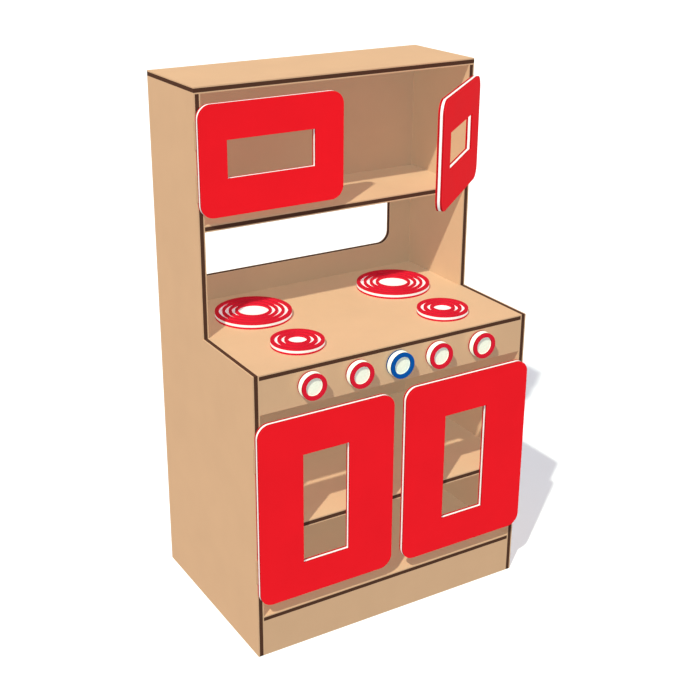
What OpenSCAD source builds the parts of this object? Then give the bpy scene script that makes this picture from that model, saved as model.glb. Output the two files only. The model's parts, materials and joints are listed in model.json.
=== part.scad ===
// Play stove with a hutch, cut from three-layer polyethylene sheet.
// Millimetres. X runs to the right, Y runs to the back, Z runs up.
// The origin is on the floor, under the middle of the whole stove, knobs included.

/* [Cabinet] */
// Width over the two side panels
cabinet_w = 610; // [560:1:700]
// Depth of the side panels at the floor
cabinet_d = 408; // [380:1:460]
// Height from the floor to the top of the top panel
cabinet_h = 1062; // [1040:1:1120]
// Depth of the hutch that stands on the rear of the counter
hutch_d = 206; // [170:1:230]
// Height of the counter's working surface
counter_h = 587.5; // [570:0.5:605]
// Clear height inside the upper cupboard
cupboard_h = 241.2; // [225:0.1:260]
// Height of the middle shelf's upper surface
middle_shelf_h = 268.5; // [220:0.5:320]
// Height of the kick board under the bottom shelf
kick_h = 74.9; // [60:0.1:95]
// Height of the control panel under the counter
control_h = 64.5; // [62:0.5:80]
// Distance of the back panel's rear face from the side panels' rear edge
back_inset = 4.6; // [1:0.1:12]

/* [Sheet] */
// Thickness of the sheet used for the cabinet, the doors and the burners
board_t = 12.7; // [12:0.1:15]
// Thickness of each coloured skin of the cabinet's sheet
skin_t = 2.5; // [1.5:0.1:2.8]
// Thickness of each coloured skin of the doors', the burners' and the knobs' sheet
accent_skin_t = 4; // [3:0.1:4.2]
// Colour of the cabinet's skins
cabinet_skin = "#ddb087"; // ["#ddb087":Tan, "#c9c6bd":Stone]
// Colour of the cabinet's core
cabinet_core = "#4d3226"; // ["#4d3226":Brown, "#2f2f2f":Charcoal]
// Colour of the doors, the burners and four knobs
accent_skin = "#e8202a"; // ["#e8202a":Red, "#1f7a3a":Green]
// Colour of the middle knob
middle_knob_skin = "#0a4f9f"; // ["#0a4f9f":Blue, "#e0a81c":Yellow]
// Colour of the core under the accent skins
accent_core = "#fbf8ee"; // ["#fbf8ee":White, "#e9d9b0":Cream]

/* [Back window] */
// Width of the window behind the counter
back_window_w = 478; // [380:1:500]
// Space between the counter and the window's lower edge
back_window_rise = 52.5; // [40:0.5:60]
// Space between the window's upper edge and the hutch shelf
back_window_drop = 30.4; // [20:0.1:45]
// Corner radius of the window
back_window_r = 25.4; // [10:0.1:40]

/* [Doors] */
// Corner radius of all doors
door_corner_r = 26; // [12:1:32]
// Space between the two lower doors
lower_door_split = 27.6; // [10:0.1:60]
// Space between the lower doors and the bottom shelf's surface
lower_door_rise = 32.1; // [2:0.1:45]
// Space between the lower doors and the control panel
lower_door_drop = 15.6; // [4:0.1:30]
// Width of the lower doors' windows
lower_window_w = 100; // [60:1:140]
// Height of the lower doors' windows
lower_window_h = 229; // [150:1:260]
// Space between the two upper doors
upper_door_split = 12; // [6:1:40]
// Space between the upper doors and the hutch shelf's surface
upper_door_rise = 16.4; // [2:0.1:22]
// Space between the upper doors and the top panel
upper_door_drop = 17.8; // [4:0.1:24]
// Width of the upper doors' windows
upper_window_w = 183; // [120:1:210]
// Height of the upper doors' windows
upper_window_h = 71; // [40:1:90]
// Offset of all the doors' windows from the doors' middle, to the left
window_shift = 3; // [0:0.1:8]
// Offset of the lower doors' windows below the doors' middle
lower_window_sink = 3.9; // [0:0.1:8]
// Offset of the upper doors' windows above the doors' middle
upper_window_lift = 1.5; // [0:0.1:4]
// Angle by which the upper right door stands open, in degrees
upper_right_open = 40.5; // [0:0.1:100]

/* [Burners] */
// Radius of the two large burners
large_burner_r = 76.2; // [72:0.1:84]
// Radius of the large burners' centre disc
large_centre_r = 30.4; // [24:0.1:32]
// Width of the large burners' raised rings
large_ring_w = 5.9; // [4:0.1:6.4]
// Width of the large burners' grooves
large_groove_w = 6.8; // [4:0.1:7.2]
// Radius of the two small burners
small_burner_r = 50.8; // [47:0.1:60]
// Radius of the small burners' centre disc
small_centre_r = 17.9; // [15:0.1:20]
// Width of the small burners' raised rings
small_ring_w = 6.9; // [4:0.1:7.4]
// Width of the small burners' grooves
small_groove_w = 6; // [4:0.1:6.4]
// Depth of the grooves, just through the top skin
groove_depth = 4.6; // [4.3:0.1:5]
// Distance between the left and the right burners' centres
burner_pitch = 330.5; // [250:0.5:360]
// Offset of the burners from the cabinet's middle, to the right
burner_shift = 1.2; // [0:0.1:10]
// Distance of the small burners' centres from the front edge
front_burner_y = 89.5; // [70:0.5:100]
// Distance of the large burners' centres from the front edge
rear_burner_y = 266.5; // [245:0.5:285]

/* [Knobs] */
// Radius of the knobs
knob_r = 25.8; // [20:0.1:29]
// Thickness of the knobs
knob_t = 19; // [17:0.5:24]
// Radius of the recess in a knob's face
knob_recess_r = 17.7; // [12:0.1:18]
// Depth of the recess
knob_recess_depth = 4.6; // [3:0.1:5.5]
// Distance of the inner knobs from the middle knob
inner_knob_x = 89; // [70:0.5:110]
// Distance of the outer knobs from the middle knob
outer_knob_x = 190.2; // [170:0.1:240]
// Height of the knobs' centres above the control panel's middle
knob_rise = 6.8; // [0:0.1:8]

/* [Hinges] */
// Length of each hinge's barrel
hinge_len = 50; // [44:1:56]
// Outer radius of the hinge barrels
barrel_r = 2.4; // [2.2:0.1:2.6]
// Radius of the hinge pins
hinge_pin_r = 1.2; // [1:0.1:1.4]
// Thickness of the hinge leaves
leaf_t = 1; // [0.8:0.1:1.2]
// Width of the leaf on the side panel's front edge
frame_leaf_w = 11; // [10:0.1:11.8]
// Width of the leaf on the door's back
door_leaf_w = 20; // [16:1:30]
// Distance from a lower door's rounded corner to its hinge
lower_hinge_inset = 20; // [5:1:60]
// Distance from an upper door's rounded corner to its hinge
upper_hinge_inset = 4; // [1:1:12]

/* [Fasteners] */
// Radius of the dowels in the board joints
dowel_r = 3; // [2.5:0.1:4]
// Length of the dowels
dowel_len = 20; // [16:1:24]
// Radius of the wood-type screws' shanks
screw_r = 2; // [1.5:0.1:2.2]
// Radius of the screws' pan heads
screw_head_r = 3.2; // [3:0.1:3.6]
// Height of the screws' pan heads
screw_head_h = 2.2; // [1.6:0.1:2.4]
// Length of the screws that hold the back panel
back_screw_len = 30; // [26:1:40]
// Length of the screws that hold the burners
burner_screw_len = 18; // [16:0.5:18]
// Length of the screws in the slanted pockets
pocket_screw_len = 21; // [19:0.5:22]
// Radius of the knobs' bolts
bolt_r = 3; // [2.5:0.1:3.5]

/* [Hidden] */

$fn = 64;

// Clearances
pin_fit = 0.05;        // radial clearance of pins, screws and dowels in their holes
bolt_fit = 0.08;       // radial clearance of a knob's bolt in the control panel
turning_gap = 0.1;     // space along the axis between a turning piece and a fixed one
knuckle_gap = 0.3;     // space between neighbouring hinge knuckles, and round them
hole_spare = 0.5;      // extra depth of a blind hole past its screw or dowel
cut = 1;               // how far a cutting shape reaches past a face
spacer_t = 0.8;        // space that a washer keeps behind each knob

// Boards
inner_w = cabinet_w - 2 * board_t;
knob_reach = spacer_t + turning_gap + knob_t;
front_y = (knob_reach - cabinet_d) / 2;
rear_y = front_y + cabinet_d;
hutch_y = rear_y - hutch_d;
back_y = rear_y - back_inset - board_t;
bottom_shelf_h = kick_h + board_t;
control_z = counter_h - board_t - control_h;
top_z = cabinet_h - board_t;
hutch_shelf_h = top_z - cupboard_h;
back_window_z = counter_h + back_window_rise;
back_window_h = hutch_shelf_h - board_t - back_window_drop - back_window_z;

// Each shelf is its front edge and the height of its upper surface
BOTTOM = [front_y, bottom_shelf_h];
MIDDLE = [front_y, middle_shelf_h];
COUNTER = [front_y, counter_h];
HUTCH = [hutch_y, hutch_shelf_h];
SHELVES = [BOTTOM, MIDDLE, COUNTER, HUTCH];

// Board joints
dowel_inset = 30;                 // from a board's corner to its dowel
dowel_into_side = 8;              // depth of a dowel in the board it meets
narrow_dowel_inset = 12;          // the same inset on the narrow kick and control boards
shelf_screw_places = [0.3, 0.7];  // along a shelf's depth
back_screw_x = [-200, 0, 200];
pocket_angle = 15;
pocket_cross = 0.6 * board_t;     // height of a pocket screw above the pocketed face, at the joint
pocket_seat = 14;                 // along a pocket screw, from its head to the joint
pocket_r = 4;
pocket_len = 32;
control_screw_x = 140;
kick_screw_x = 150;

// Doors and hinges
leaf_gap = 0.4;
door_gap = 2 * leaf_t + leaf_gap;
notch_r = barrel_r + knuckle_gap;
middle_knuckle = 0.4 * hinge_len;
hinge_screw_r = 1.3;
hinge_screw_head_r = 2.5;
hinge_screw_head_h = 1.2;
hinge_screw_len = 10;
hinge_screw_spread = 0.6 * hinge_len;
frame_screw_x = 7.2;
door_screw_x = 13;
LEFT = -1;
RIGHT = 1;

lower_door_w = (cabinet_w - lower_door_split) / 2;
lower_door_z = bottom_shelf_h + lower_door_rise;
lower_door_h = control_z - lower_door_drop - lower_door_z;
upper_door_z = hutch_shelf_h + upper_door_rise;
upper_door_w = (cabinet_w - upper_door_split) / 2;
upper_door_h = top_z - upper_door_drop - upper_door_z;

// A door is its side, the front plane it closes on, its lower edge, its width and height,
// its window's width, height and rise, its hinge inset, and how far it stands open
function lower_door(side) =
    [side, front_y, lower_door_z, lower_door_w, lower_door_h, lower_window_w, lower_window_h,
     -lower_window_sink, lower_hinge_inset, 0];
function upper_door(side, open_angle) =
    [side, hutch_y, upper_door_z, upper_door_w, upper_door_h, upper_window_w, upper_window_h,
     upper_window_lift, upper_hinge_inset, open_angle];
function door_side(d) = d[0];
function door_front(d) = d[1];
function door_z(d) = d[2];
function door_w(d) = d[3];
function door_h(d) = d[4];
function door_window(d) = [d[5], d[6]];
function door_window_centre(d) = [-door_side(d) * window_shift, d[7]];
function door_open_angle(d) = d[9];
function hinge_rise(d) = door_corner_r + d[8] + hinge_len / 2;
function hinge_heights(d) = [door_z(d) + hinge_rise(d), door_z(d) + door_h(d) - hinge_rise(d)];

LOWER_LEFT = lower_door(LEFT);
LOWER_RIGHT = lower_door(RIGHT);
UPPER_LEFT = upper_door(LEFT, 0);
UPPER_RIGHT = upper_door(RIGHT, upper_right_open);
DOORS = [LOWER_LEFT, LOWER_RIGHT, UPPER_LEFT, UPPER_RIGHT];

// Burners
left_burner_x = burner_shift - burner_pitch / 2;
right_burner_x = burner_shift + burner_pitch / 2;
burner_screw_x = 13;
large_burner_y = front_y + rear_burner_y;
small_burner_y = front_y + front_burner_y;
BURNER_CENTRES = [
    [left_burner_x, large_burner_y], [right_burner_x, large_burner_y],
    [left_burner_x, small_burner_y], [right_burner_x, small_burner_y]
];

// Knobs
KNOB_X = [-outer_knob_x, -inner_knob_x, 0, inner_knob_x, outer_knob_x];
knob_z = control_z + control_h / 2 + knob_rise;
spacer_r = 8;
washer_t = 1.2;
insert_r = 4.5;
insert_len = 11;
bolt_head_r = 5.5;
bolt_head_h = 3.5;
bolt_in_insert = 10;

steel = "#c9ccd0";
brass = "#b9975b";
nylon = "#f1efe6";

// ---------- Shapes used by several pieces ----------

// A sheet lying on XY with its lower face at Z = 0, from a flat outline
module sheet(thickness, layer, skin, core) {
    color(skin) linear_extrude(layer) children();
    color(core) translate([0, 0, layer]) linear_extrude(thickness - 2 * layer) children();
    color(skin) translate([0, 0, thickness - layer]) linear_extrude(layer) children();
}

module cabinet_sheet() {
    sheet(board_t, skin_t, cabinet_skin, cabinet_core) children();
}

module accent_sheet(thickness, skin) {
    sheet(thickness, accent_skin_t, skin, accent_core) children();
}

// Stands a sheet up: its outline then lies in XZ, its back at Y = 0 and its front at -Y
module stand_facing_front() {
    rotate([90, 0, 0]) children();
}

module rounded_rectangle(w, h, r) {
    square([w - 2 * r, h], center = true);
    square([w, h - 2 * r], center = true);
    for (x = [-1, 1], y = [-1, 1])
        translate([x * (w / 2 - r), y * (h / 2 - r)]) circle(r);
}

module on_both_sides() {
    children();
    mirror([1, 0, 0]) children();
}

// A round bar along +X from x0 to x1
module bar_x(r, x0, x1) {
    translate([x0, 0, 0]) rotate([0, 90, 0]) cylinder(r = r, h = x1 - x0);
}

// A round bar along +Y from y0 to y1
module bar_y(r, y0, y1) {
    translate([0, y0, 0]) rotate([-90, 0, 0]) cylinder(r = r, h = y1 - y0);
}

// ---------- Dowels ----------

// A dowel along +X that crosses the joint plane X = 0. Spare makes its hole.
module dowel(clear = 0, spare = 0) {
    bar_x(dowel_r + clear, dowel_into_side - dowel_len - spare, dowel_into_side + spare);
}

// The dowels at both ends of every cross board, and under the top panel
module dowel_set(clear = 0, spare = 0) {
    for (s = SHELVES) shelf_dowels(s, clear, spare);
    front_board_dowels(0, kick_h, clear, spare);
    front_board_dowels(control_z, control_h, clear, spare);
    top_dowels(clear, spare);
}

module shelf_dowels(s, clear = 0, spare = 0) {
    on_both_sides()
        for (y = [s[0] + dowel_inset, back_y - dowel_inset])
            translate([inner_w / 2, y, s[1] - board_t / 2]) dowel(clear, spare);
}

module front_board_dowels(z, h, clear = 0, spare = 0) {
    on_both_sides()
        for (level = [narrow_dowel_inset, h - narrow_dowel_inset])
            translate([inner_w / 2, front_y + board_t / 2, z + level]) dowel(clear, spare);
}

module top_dowels(clear = 0, spare = 0) {
    on_both_sides()
        for (y = [hutch_y + dowel_inset, rear_y - dowel_inset])
            translate([cabinet_w / 2 - board_t / 2, y, top_z])
                rotate([0, -90, 0]) dowel(clear, spare);
}

// ---------- Pocket screws ----------

// Local frame: the joint plane is X = 0, the pocketed face is Z = 0, the board is above it
module along_pocket() {
    translate([0, 0, pocket_cross]) rotate([0, -pocket_angle, 0]) children();
}

module pocket_screw() {
    along_pocket() {
        bar_x(screw_r, -pocket_seat, pocket_screw_len - pocket_seat);
        bar_x(screw_head_r, -pocket_seat - screw_head_h, -pocket_seat);
    }
}

module pocket_hole() {
    along_pocket() {
        bar_x(screw_r + pin_fit, -pocket_seat - cut, pocket_screw_len - pocket_seat + hole_spare);
        bar_x(pocket_r, -pocket_seat - pocket_len, -pocket_seat);
    }
}

// Turns the local frame so that the screw runs upwards from a board's rear face
module upwards_from_rear() {
    rotate([0, -90, 90]) children();
}

module at_shelf_pockets(s) {
    for (k = shelf_screw_places)
        translate([inner_w / 2, s[0] + k * (back_y - s[0]), s[1] - board_t]) children();
}

module at_top_pockets() {
    for (x = back_screw_x) translate([x, back_y + board_t, top_z]) upwards_from_rear() children();
}

module at_control_pockets() {
    for (x = [-control_screw_x, control_screw_x])
        translate([x, front_y + board_t, control_z + control_h]) upwards_from_rear() children();
}

module at_kick_pockets() {
    for (x = [-kick_screw_x, kick_screw_x])
        translate([x, front_y + board_t, kick_h]) upwards_from_rear() children();
}

// ---------- Back panel screws ----------

module at_back_screws(s) {
    for (x = back_screw_x) translate([x, back_y + board_t, s[1] - board_t / 2]) children();
}

module back_screw(clear = 0, spare = 0) {
    bar_y(screw_r + clear, -back_screw_len - spare, 0);
}

// ---------- Cabinet ----------

module shelf_board(s) {
    difference() {
        translate([0, s[0], s[1] - board_t]) cabinet_sheet()
            translate([-inner_w / 2, 0]) square([inner_w, back_y - s[0]]);
        shelf_dowels(s, pin_fit, hole_spare);
        on_both_sides() at_shelf_pockets(s) pocket_hole();
        at_back_screws(s) back_screw(pin_fit, hole_spare);
    }
}

module side_outline() {
    polygon([
        [front_y, 0], [rear_y, 0], [rear_y, top_z], [hutch_y, top_z],
        [hutch_y, counter_h], [front_y, counter_h]
    ]);
}

module side_panel(side) {
    difference() {
        translate([side * (cabinet_w - board_t) / 2 - board_t / 2, 0, 0])
            rotate([90, 0, 90]) cabinet_sheet() side_outline();
        dowel_set(pin_fit, hole_spare);
        for (s = SHELVES) on_both_sides() at_shelf_pockets(s) pocket_hole();
        for (d = DOORS) at_hinges(d) {
            hinge_notch();
            at_frame_screws() hinge_screw(pin_fit, hole_spare);
        }
    }
}

module top_panel() {
    difference() {
        translate([0, hutch_y, top_z]) cabinet_sheet()
            translate([-cabinet_w / 2, 0]) square([cabinet_w, hutch_d]);
        top_dowels(pin_fit, hole_spare);
        at_top_pockets() pocket_hole();
    }
}

module back_panel() {
    window_r = min(back_window_r, back_window_h / 2 - pin_fit);
    difference() {
        translate([0, back_y + board_t, 0]) stand_facing_front() cabinet_sheet() difference() {
            translate([-inner_w / 2, 0]) square([inner_w, top_z]);
            translate([0, back_window_z + back_window_h / 2])
                rounded_rectangle(back_window_w, back_window_h, window_r);
        }
        for (s = SHELVES) at_back_screws(s) back_screw(pin_fit, hole_spare);
        at_top_pockets() pocket_hole();
    }
}

module counter_top() {
    difference() {
        shelf_board(COUNTER);
        at_control_pockets() pocket_hole();
        at_burner_screws() burner_screw_hole();
    }
}

module bottom_shelf() {
    difference() {
        shelf_board(BOTTOM);
        at_kick_pockets() pocket_hole();
    }
}

// A board across the front, from height z, between the side panels
module front_board(z, h) {
    difference() {
        translate([0, front_y + board_t, z]) stand_facing_front() cabinet_sheet()
            translate([-inner_w / 2, 0]) square([inner_w, h]);
        front_board_dowels(z, h, pin_fit, hole_spare);
    }
}

module kick_board() {
    difference() {
        front_board(0, kick_h);
        at_kick_pockets() pocket_hole();
    }
}

module control_panel() {
    difference() {
        front_board(control_z, control_h);
        at_control_pockets() pocket_hole();
        for (x = KNOB_X) at_knob(x) bar_y(bolt_r + bolt_fit, -cut, board_t + cut);
    }
}

// ---------- Burners ----------

module burner(x, y, r, centre_r, ring_w, groove_w) {
    pitch = ring_w + groove_w;
    grooves = floor((r - centre_r - ring_w) / pitch);
    difference() {
        translate([x, y, counter_h]) difference() {
            accent_sheet(board_t, accent_skin) circle(r);
            translate([0, 0, board_t - groove_depth]) {
                cylinder(r = centre_r, h = groove_depth + cut);
                for (k = [0 : grooves - 1]) {
                    start = centre_r + ring_w + k * pitch;
                    difference() {
                        cylinder(r = start + groove_w, h = groove_depth + cut);
                        translate([0, 0, -cut]) cylinder(r = start, h = groove_depth + 3 * cut);
                    }
                }
            }
        }
        at_burner_screws() burner_screw_hole();
    }
}

module large_burner(x) {
    burner(x, large_burner_y, large_burner_r, large_centre_r, large_ring_w, large_groove_w);
}

module small_burner(x) {
    burner(x, small_burner_y, small_burner_r, small_centre_r, small_ring_w, small_groove_w);
}

// Two screws come up through the counter into each burner
module at_burner_screws() {
    for (c = BURNER_CENTRES, dx = [-burner_screw_x, burner_screw_x])
        translate([c[0] + dx, c[1], counter_h - board_t]) children();
}

module burner_screw_hole() {
    translate([0, 0, -cut])
        cylinder(r = screw_r + pin_fit, h = burner_screw_len + cut + hole_spare);
}

// ---------- Knobs ----------

module at_knob(x) {
    translate([x, front_y, knob_z]) children();
}

// A turning disc with a recessed face, in front of the control panel
module knob(x, skin) {
    back = -spacer_t - turning_gap;
    at_knob(x) translate([0, back, 0]) difference() {
        stand_facing_front() accent_sheet(knob_t, skin) circle(knob_r);
        bar_y(knob_recess_r, -knob_t - cut, -knob_t + knob_recess_depth);
        bar_y(insert_r + pin_fit, -insert_len, cut);
    }
}

// The brass thread in the knob's back
module knob_insert(x) {
    back = -spacer_t - turning_gap;
    color(brass) at_knob(x) difference() {
        bar_y(insert_r, back - insert_len, back);
        bar_y(bolt_r + pin_fit, back - insert_len - cut, back + cut);
    }
}

// The bolt comes from inside the cabinet, and turns with the knob
module knob_bolt(x) {
    head = board_t + washer_t + turning_gap;
    color(steel) at_knob(x) {
        bar_y(bolt_r, -spacer_t - turning_gap - bolt_in_insert, head);
        bar_y(bolt_head_r, head, head + bolt_head_h);
    }
}

module ring_washer(y, thickness) {
    difference() {
        bar_y(spacer_r, y, y + thickness);
        bar_y(bolt_r + bolt_fit, y - cut, y + thickness + cut);
    }
}

module knob_spacers() {
    color(nylon) for (x = KNOB_X) at_knob(x) ring_washer(-spacer_t, spacer_t);
}

module knob_washers() {
    color(steel) for (x = KNOB_X) at_knob(x) ring_washer(board_t, washer_t);
}

// ---------- Doors and hinges ----------

// Local frame of a hinge on the right: the pin is on Z, the cabinet's middle is towards -X
module at_axis(d) {
    translate([door_side(d) * cabinet_w / 2, door_front(d) - door_gap / 2, 0])
        mirror([door_side(d) < 0 ? 1 : 0, 0, 0]) children();
}

module at_hinges(d) {
    at_axis(d) for (z = hinge_heights(d)) translate([0, 0, z]) children();
}

// Turns a door and what rides on it to where the door stands
module swing(d) {
    at_axis(d) rotate([0, 0, door_open_angle(d)]) children();
}

module swing_at_hinges(d) {
    swing(d) for (z = hinge_heights(d)) translate([0, 0, z]) children();
}

module hinge_notch() {
    cylinder(r = notch_r, h = hinge_len + 2 * knuckle_gap, center = true);
}

// A countersunk screw along +Y, its head flush with Y = 0. Clear makes its hole.
module hinge_screw(clear = 0, spare = 0) {
    rotate([-90, 0, 0]) {
        cylinder(r1 = hinge_screw_head_r + clear, r2 = hinge_screw_r + clear,
                 h = hinge_screw_head_h);
        cylinder(r = hinge_screw_r + clear, h = hinge_screw_len + spare);
    }
}

module at_frame_screws() {
    for (z = [-1, 1])
        translate([-frame_screw_x, leaf_gap / 2, z * hinge_screw_spread / 2]) children();
}

module at_door_screws() {
    for (z = [-1, 1])
        translate([-door_screw_x, -leaf_gap / 2, z * hinge_screw_spread / 2])
            rotate([0, 0, 180]) children();
}

module door(d, skin) {
    w = door_w(d);
    h = door_h(d);
    swing(d) difference() {
        translate([-w / 2, -door_gap / 2, door_z(d) + h / 2]) stand_facing_front()
            accent_sheet(board_t, skin) difference() {
                rounded_rectangle(w, h, door_corner_r);
                translate(door_window_centre(d)) square(door_window(d), center = true);
            }
        for (z = hinge_heights(d)) translate([0, 0, z]) {
            hinge_notch();
            at_door_screws() hinge_screw(pin_fit, hole_spare);
        }
    }
}

// A ring of the barrel, from z0 to z1
module knuckle(z0, z1) {
    translate([0, 0, z0]) cylinder(r = barrel_r, h = z1 - z0);
}

// The leaf screwed to the side panel's front edge carries the two end knuckles
module frame_leaf() {
    difference() {
        union() {
            translate([-frame_leaf_w, leaf_gap / 2, -hinge_len / 2])
                cube([frame_leaf_w, leaf_t, hinge_len]);
            knuckle(middle_knuckle / 2, hinge_len / 2);
            knuckle(-hinge_len / 2, -middle_knuckle / 2);
        }
        cylinder(r = notch_r, h = middle_knuckle, center = true);
        cylinder(r = hinge_pin_r + pin_fit, h = hinge_len + cut, center = true);
        at_frame_screws() hinge_screw(pin_fit, hole_spare);
    }
}

// The leaf screwed to the door's back carries the middle knuckle
module door_leaf() {
    reach = middle_knuckle / 2 - knuckle_gap;
    difference() {
        union() {
            difference() {
                translate([-door_leaf_w, -leaf_gap / 2 - leaf_t, -hinge_len / 2])
                    cube([door_leaf_w, leaf_t, hinge_len]);
                for (z = [reach, -hinge_len / 2 - cut])
                    translate([0, 0, z]) cylinder(r = notch_r, h = hinge_len / 2 - reach + cut);
            }
            knuckle(-reach, reach);
        }
        cylinder(r = hinge_pin_r + pin_fit, h = hinge_len + cut, center = true);
        at_door_screws() hinge_screw(pin_fit, hole_spare);
    }
}

module hinge_leaf(d) {
    color(steel) swing_at_hinges(d) door_leaf();
}

module leaf_screws(d) {
    color(steel) swing_at_hinges(d) at_door_screws() hinge_screw();
}

module hinge_frame_leaves() {
    color(steel) for (d = DOORS) at_hinges(d) frame_leaf();
}

module hinge_frame_screws() {
    color(steel) for (d = DOORS) at_hinges(d) at_frame_screws() hinge_screw();
}

module hinge_pins() {
    color(steel) for (d = DOORS) at_hinges(d)
        cylinder(r = hinge_pin_r, h = hinge_len, center = true);
}

// ---------- Fasteners ----------

module dowels() {
    color(nylon) dowel_set();
}

module pocket_screws() {
    color(steel) {
        for (s = SHELVES) on_both_sides() at_shelf_pockets(s) pocket_screw();
        at_top_pockets() pocket_screw();
        at_control_pockets() pocket_screw();
        at_kick_pockets() pocket_screw();
    }
}

module back_panel_screws() {
    color(steel) for (s = SHELVES) at_back_screws(s) {
        back_screw();
        bar_y(screw_head_r, 0, screw_head_h);
    }
}

module burner_screws() {
    color(steel) at_burner_screws() {
        cylinder(r = screw_r, h = burner_screw_len);
        translate([0, 0, -screw_head_h]) cylinder(r = screw_head_r, h = screw_head_h);
    }
}

// ---------- The pieces that come in a set ----------

module side_panel_left() { side_panel(LEFT); }
module side_panel_right() { side_panel(RIGHT); }
module hutch_shelf() { shelf_board(HUTCH); }
module middle_shelf() { shelf_board(MIDDLE); }
module burner_rear_left() { large_burner(left_burner_x); }
module burner_rear_right() { large_burner(right_burner_x); }
module burner_front_left() { small_burner(left_burner_x); }
module burner_front_right() { small_burner(right_burner_x); }
module knob_outer_left() { knob(KNOB_X[0], accent_skin); }
module knob_inner_left() { knob(KNOB_X[1], accent_skin); }
module knob_middle() { knob(KNOB_X[2], middle_knob_skin); }
module knob_inner_right() { knob(KNOB_X[3], accent_skin); }
module knob_outer_right() { knob(KNOB_X[4], accent_skin); }
module knob_insert_outer_left() { knob_insert(KNOB_X[0]); }
module knob_insert_inner_left() { knob_insert(KNOB_X[1]); }
module knob_insert_middle() { knob_insert(KNOB_X[2]); }
module knob_insert_inner_right() { knob_insert(KNOB_X[3]); }
module knob_insert_outer_right() { knob_insert(KNOB_X[4]); }
module knob_bolt_outer_left() { knob_bolt(KNOB_X[0]); }
module knob_bolt_inner_left() { knob_bolt(KNOB_X[1]); }
module knob_bolt_middle() { knob_bolt(KNOB_X[2]); }
module knob_bolt_inner_right() { knob_bolt(KNOB_X[3]); }
module knob_bolt_outer_right() { knob_bolt(KNOB_X[4]); }
module door_lower_left() { door(LOWER_LEFT, accent_skin); }
module door_lower_right() { door(LOWER_RIGHT, accent_skin); }
module door_upper_left() { door(UPPER_LEFT, accent_skin); }
module door_upper_right() { door(UPPER_RIGHT, accent_skin); }
module hinge_leaf_lower_left() { hinge_leaf(LOWER_LEFT); }
module hinge_leaf_lower_right() { hinge_leaf(LOWER_RIGHT); }
module hinge_leaf_upper_left() { hinge_leaf(UPPER_LEFT); }
module hinge_leaf_upper_right() { hinge_leaf(UPPER_RIGHT); }
module leaf_screws_lower_left() { leaf_screws(LOWER_LEFT); }
module leaf_screws_lower_right() { leaf_screws(LOWER_RIGHT); }
module leaf_screws_upper_left() { leaf_screws(UPPER_LEFT); }
module leaf_screws_upper_right() { leaf_screws(UPPER_RIGHT); }

// ---------- What is drawn ----------

side_panel_left();
side_panel_right();
top_panel();
back_panel();
counter_top();
hutch_shelf();
middle_shelf();
bottom_shelf();
kick_board();
control_panel();
burner_rear_left();
burner_rear_right();
burner_front_left();
burner_front_right();
knob_outer_left();
knob_inner_left();
knob_middle();
knob_inner_right();
knob_outer_right();
knob_insert_outer_left();
knob_insert_inner_left();
knob_insert_middle();
knob_insert_inner_right();
knob_insert_outer_right();
knob_bolt_outer_left();
knob_bolt_inner_left();
knob_bolt_middle();
knob_bolt_inner_right();
knob_bolt_outer_right();
knob_spacers();
knob_washers();
door_lower_left();
door_lower_right();
door_upper_left();
door_upper_right();
hinge_leaf_lower_left();
hinge_leaf_lower_right();
hinge_leaf_upper_left();
hinge_leaf_upper_right();
leaf_screws_lower_left();
leaf_screws_lower_right();
leaf_screws_upper_left();
leaf_screws_upper_right();
hinge_frame_leaves();
hinge_pins();
hinge_frame_screws();
dowels();
pocket_screws();
back_panel_screws();
burner_screws();
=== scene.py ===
"""Play stove with a hutch: the looks of its sheet boards, doors, burners, knobs and hardware."""

import json
import math

import bmesh
import bpy
from mathutils import Matrix, Vector


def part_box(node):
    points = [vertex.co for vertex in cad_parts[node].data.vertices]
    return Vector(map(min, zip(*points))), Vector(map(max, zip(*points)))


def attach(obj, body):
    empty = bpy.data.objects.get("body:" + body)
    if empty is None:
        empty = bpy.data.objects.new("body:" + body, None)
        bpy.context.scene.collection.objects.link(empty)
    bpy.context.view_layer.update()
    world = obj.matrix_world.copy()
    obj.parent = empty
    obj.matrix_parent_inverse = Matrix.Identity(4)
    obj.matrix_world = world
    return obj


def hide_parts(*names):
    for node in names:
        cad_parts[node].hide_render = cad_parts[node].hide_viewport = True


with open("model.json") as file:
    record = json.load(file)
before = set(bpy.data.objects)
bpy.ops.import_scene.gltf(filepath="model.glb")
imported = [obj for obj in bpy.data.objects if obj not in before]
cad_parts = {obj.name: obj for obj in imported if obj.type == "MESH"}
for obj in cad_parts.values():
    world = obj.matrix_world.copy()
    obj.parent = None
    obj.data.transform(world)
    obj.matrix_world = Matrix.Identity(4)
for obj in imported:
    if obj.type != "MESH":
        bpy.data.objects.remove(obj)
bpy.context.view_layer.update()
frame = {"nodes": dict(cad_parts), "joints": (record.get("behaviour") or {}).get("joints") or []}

bl_info = {
    "name": "Play Stove",
    "version": (1, 0, 0),
    "blender": (4, 5, 0),
    "location": "View3D > Sidebar > Play Stove",
    "description": "Dresses a play stove cut from three-layer polyethylene sheet",
    "category": "Add Mesh",
}


# ---------- Places taken from the frame ----------

def low(node):
    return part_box(node)[0]


def high(node):
    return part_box(node)[1]


BOARD = high("top_panel").z - low("top_panel").z
KNOB_THICK = high("knob_middle").y - low("knob_middle").y
COUNTER = high("counter_top").z
SIDES = ("side_panel_left", "side_panel_right")
FLAT_BOARDS = ("top_panel", "counter_top", "hutch_shelf", "middle_shelf", "bottom_shelf")
UPRIGHT_BOARDS = ("back_panel", "kick_board", "control_panel")
BURNERS = ("burner_rear_left", "burner_rear_right", "burner_front_left", "burner_front_right")
KNOBS = ("outer_left", "inner_left", "middle", "inner_right", "outer_right")
DOORS = ("lower_left", "lower_right", "upper_left", "upper_right")
JOINTS = {joint["name"]: joint for joint in frame["joints"]}

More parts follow.
